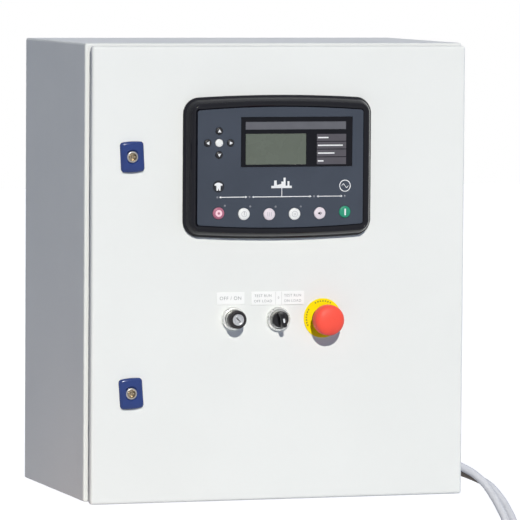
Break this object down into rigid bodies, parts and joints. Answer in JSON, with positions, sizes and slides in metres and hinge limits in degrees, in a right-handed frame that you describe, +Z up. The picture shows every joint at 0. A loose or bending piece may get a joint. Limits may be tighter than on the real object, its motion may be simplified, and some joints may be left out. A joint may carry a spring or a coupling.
{
  "type": "generator set control panel",
  "caption": "Wall-mounted sheet-steel control panel for a generating set, with a hinged door that carries a controller, a key switch, a selector and an emergency stop.",
  "frame": {"origin": "centre of the enclosure's back face, which lies on the wall", "axes": "+Z up, -Y out of the wall towards the door's front, +X to the right as seen from the front"},
  "size_m": [0.66, 0.334, 0.8976],
  "materials": {
    "paint": "semi-matt powder coat",
    "galvanised": "galvanised",
    "bright_steel": "zinc plated",
    "chrome": "polished",
    "foam": "foam strip",
    "blue_plastic": "glossy moulded",
    "black_plastic": "satin moulded",
    "slate_facia": "fine textured overlay",
    "window_black": "clear window with a black backing",
    "lcd": "unlit liquid crystal panel",
    "white_plastic": "satin",
    "red_plastic": "smooth moulded",
    "green_plastic": "satin",
    "pink_plastic": "satin",
    "yellow_label": "printed laminate",
    "grey_plastic": "satin",
    "device_ring": "smooth moulded",
    "cable_grey": "PVC sheath"
  },
  "bodies": {
    "enclosure": {"enclosure_body": "paint", "mounting_plate": "galvanised", "din_rail_upper": "galvanised", "din_rail_lower": "galvanised", "wiring_duct_side": "grey_plastic", "wiring_duct_middle": "grey_plastic", "mains_contactor": "black_plastic", "generator_contactor": "black_plastic", "circuit_breaker": "white_plastic", "battery_charger": "galvanised", "control_relay": "black_plastic", "terminal_strip": "green_plastic", "hinge_leaf_body_upper": "bright_steel", "hinge_leaf_body_lower": "bright_steel", "hinge_pin_upper": "bright_steel", "hinge_pin_lower": "bright_steel", "cable_gland_front": "grey_plastic", "cable_gland_rear": "grey_plastic", "cable_front": "cable_grey", "cable_rear": "cable_grey"},
    "door": {"door": "paint", "door_gasket": "foam", "hinge_leaf_door_upper": "bright_steel", "hinge_leaf_door_lower": "bright_steel", "lock_housing_upper": "blue_plastic", "lock_housing_lower": "blue_plastic", "controller_bezel": "black_plastic", "controller_facia": "slate_facia", "display_window": "window_black", "display_lcd": "lcd", "controller_rear_case": "grey_plastic", "key_switch_body": "device_ring", "key_contact_block": "grey_plastic", "selector_body": "device_ring", "selector_contact_block": "grey_plastic", "estop_ring": "yellow_label", "estop_body": "black_plastic", "estop_contact_block": "grey_plastic", "label_plate_key": "white_plastic", "label_plate_selector": "white_plastic"},
    "breaker_toggle": {"breaker_toggle": "black_plastic"},
    "lock_upper": {"lock_insert_upper": "chrome", "lock_cam_upper": "bright_steel"},
    "lock_lower": {"lock_insert_lower": "chrome", "lock_cam_lower": "bright_steel"},
    "key_barrel": {"key_barrel": "chrome"},
    "selector_knob": {"selector_knob": "black_plastic"},
    "estop_plunger": {"estop_plunger": "black_plastic"},
    "estop_head": {"estop_head": "red_plastic"},
    "button_auto": {"button_auto": "white_plastic"},
    "button_manual": {"button_manual": "white_plastic"},
    "button_mute": {"button_mute": "pink_plastic"},
    "button_start": {"button_start": "green_plastic"},
    "button_stop": {"button_stop": "red_plastic"},
    "button_test": {"button_test": "pink_plastic"},
    "nav_button_centre": {"nav_button_centre": "white_plastic"},
    "nav_button_down": {"nav_button_down": "black_plastic"},
    "nav_button_left": {"nav_button_left": "black_plastic"},
    "nav_button_right": {"nav_button_right": "black_plastic"},
    "nav_button_up": {"nav_button_up": "black_plastic"}
  },
  "joints": [
    {"name": "door_hinge", "type": "hinge", "parent": "enclosure", "child": "door", "pos_m": [0.2465, -0.2865, -0.0028], "axis": [0, 0, 1], "range_deg": [0, 110]},
    {"name": "breaker_toggle_pivot", "type": "hinge", "parent": "enclosure", "child": "breaker_toggle", "pos_m": [-0.14, -0.0924, 0.1641], "axis": [-1, 0, 0], "range_deg": [-70, 0]},
    {"name": "lock_upper_turn", "type": "hinge", "parent": "door", "child": "lock_upper", "pos_m": [-0.1945, -0.3, 0.1462], "axis": [0, -1, 0], "range_deg": [0, 90]},
    {"name": "lock_lower_turn", "type": "hinge", "parent": "door", "child": "lock_lower", "pos_m": [-0.1945, -0.3, -0.1502], "axis": [0, -1, 0], "range_deg": [0, 90]},
    {"name": "key_turn", "type": "hinge", "parent": "door", "child": "key_barrel", "pos_m": [-0.0607, -0.3, -0.0585], "axis": [0, 1, 0], "range_deg": [0, 90]},
    {"name": "selector_turn", "type": "hinge", "parent": "door", "child": "selector_knob", "pos_m": [-0.0007, -0.3, -0.06], "axis": [0, 1, 0], "range_deg": [-45, 45]},
    {"name": "estop_press", "type": "slide", "parent": "door", "child": "estop_plunger", "axis": [0, 1, 0], "range_m": [0, 0.004]},
    {"name": "estop_twist", "type": "hinge", "parent": "estop_plunger", "child": "estop_head", "pos_m": [0.0593, -0.3, -0.061], "axis": [0, 1, 0], "range_deg": [0, 45], "stiffness_Nm_per_rad": 0.1},
    {"name": "button_auto_press", "type": "slide", "parent": "door", "child": "button_auto", "axis": [0, 1, 0], "range_m": [0, 0.0006], "stiffness_N_per_m": 1500},
    {"name": "button_manual_press", "type": "slide", "parent": "door", "child": "button_manual", "axis": [0, 1, 0], "range_m": [0, 0.0006], "stiffness_N_per_m": 1500},
    {"name": "button_mute_press", "type": "slide", "parent": "door", "child": "button_mute", "axis": [0, 1, 0], "range_m": [0, 0.0006], "stiffness_N_per_m": 1500},
    {"name": "button_start_press", "type": "slide", "parent": "door", "child": "button_start", "axis": [0, 1, 0], "range_m": [0, 0.0006], "stiffness_N_per_m": 1500},
    {"name": "button_stop_press", "type": "slide", "parent": "door", "child": "button_stop", "axis": [0, 1, 0], "range_m": [0, 0.0006], "stiffness_N_per_m": 1500},
    {"name": "button_test_press", "type": "slide", "parent": "door", "child": "button_test", "axis": [0, 1, 0], "range_m": [0, 0.0006], "stiffness_N_per_m": 1500},
    {"name": "nav_button_centre_press", "type": "slide", "parent": "door", "child": "nav_button_centre", "axis": [0, 1, 0], "range_m": [0, 0.0006], "stiffness_N_per_m": 1500},
    {"name": "nav_button_down_press", "type": "slide", "parent": "door", "child": "nav_button_down", "axis": [0, 1, 0], "range_m": [0, 0.0006], "stiffness_N_per_m": 1500},
    {"name": "nav_button_left_press", "type": "slide", "parent": "door", "child": "nav_button_left", "axis": [0, 1, 0], "range_m": [0, 0.0006], "stiffness_N_per_m": 1500},
    {"name": "nav_button_right_press", "type": "slide", "parent": "door", "child": "nav_button_right", "axis": [0, 1, 0], "range_m": [0, 0.0006], "stiffness_N_per_m": 1500},
    {"name": "nav_button_up_press", "type": "slide", "parent": "door", "child": "nav_button_up", "axis": [0, 1, 0], "range_m": [0, 0.0006], "stiffness_N_per_m": 1500}
  ]
}
